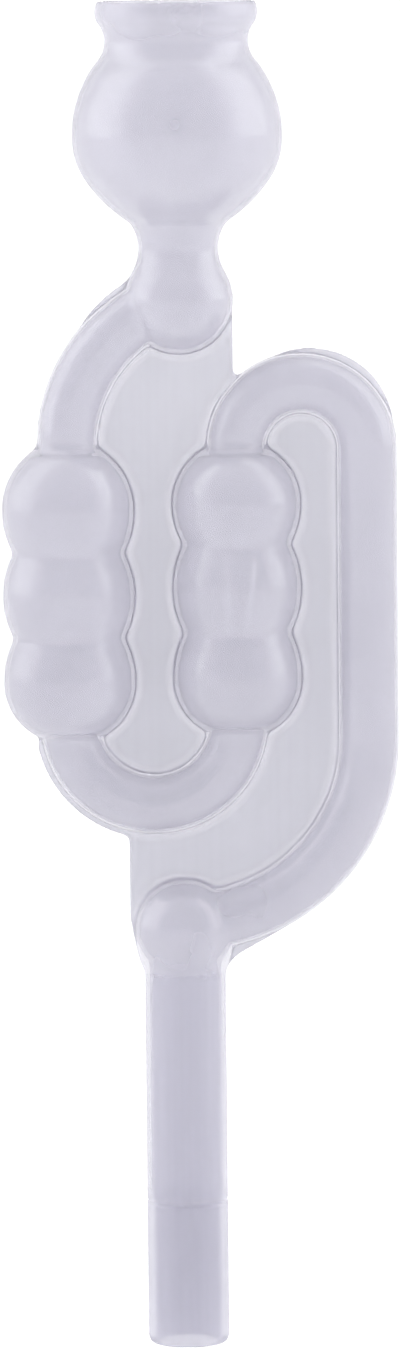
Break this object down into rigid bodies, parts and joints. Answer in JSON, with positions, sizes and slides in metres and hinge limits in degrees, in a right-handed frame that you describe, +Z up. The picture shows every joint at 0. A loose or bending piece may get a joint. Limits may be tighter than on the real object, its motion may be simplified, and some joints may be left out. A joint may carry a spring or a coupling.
{
  "type": "s bend airlock",
  "caption": "Hollow S-shaped water trap blown in one piece, with a reservoir cup on top and a plain stem that a fermenter bung grips",
  "frame": {"origin": "centre of the stem's open lower end, on the stem's axis", "axes": "+Z up along the stem towards the reservoir's mouth, X across the S with the outer tube on +X, Y through the thickness with the parting plane at Y = 0"},
  "size_m": [0.0442, 0.0234, 0.1508],
  "materials": {
    "blown_plastic": "milky clear blown plastic, smooth and slightly waxy",
    "web_plastic": "milky clear plastic pinched flat between the mould halves, with faint draw lines",
    "stem_plastic": "milky clear plastic, thicker and a little darker than the blown walls"
  },
  "bodies": {
    "root": {"rim_lip": "blown_plastic", "reservoir_bulb": "blown_plastic", "neck": "blown_plastic", "upper_socket": "blown_plastic", "shoulder_tube": "blown_plastic", "left_chamber_upper": "blown_plastic", "left_chamber_middle": "blown_plastic", "left_chamber_lower": "blown_plastic", "u_bend": "blown_plastic", "centre_chamber_lower": "blown_plastic", "centre_chamber_middle": "blown_plastic", "centre_chamber_upper": "blown_plastic", "return_bend": "blown_plastic", "outer_tube": "blown_plastic", "lower_bend": "blown_plastic", "lower_socket": "blown_plastic", "stem": "stem_plastic", "stem_tip": "stem_plastic", "upper_web": "web_plastic", "upper_web_edge": "web_plastic", "lower_web": "web_plastic", "lower_web_edge": "web_plastic", "u_bend_fin": "web_plastic", "shoulder_fin": "web_plastic", "return_fin": "web_plastic", "heel_fin": "web_plastic"}
  },
  "joints": []
}
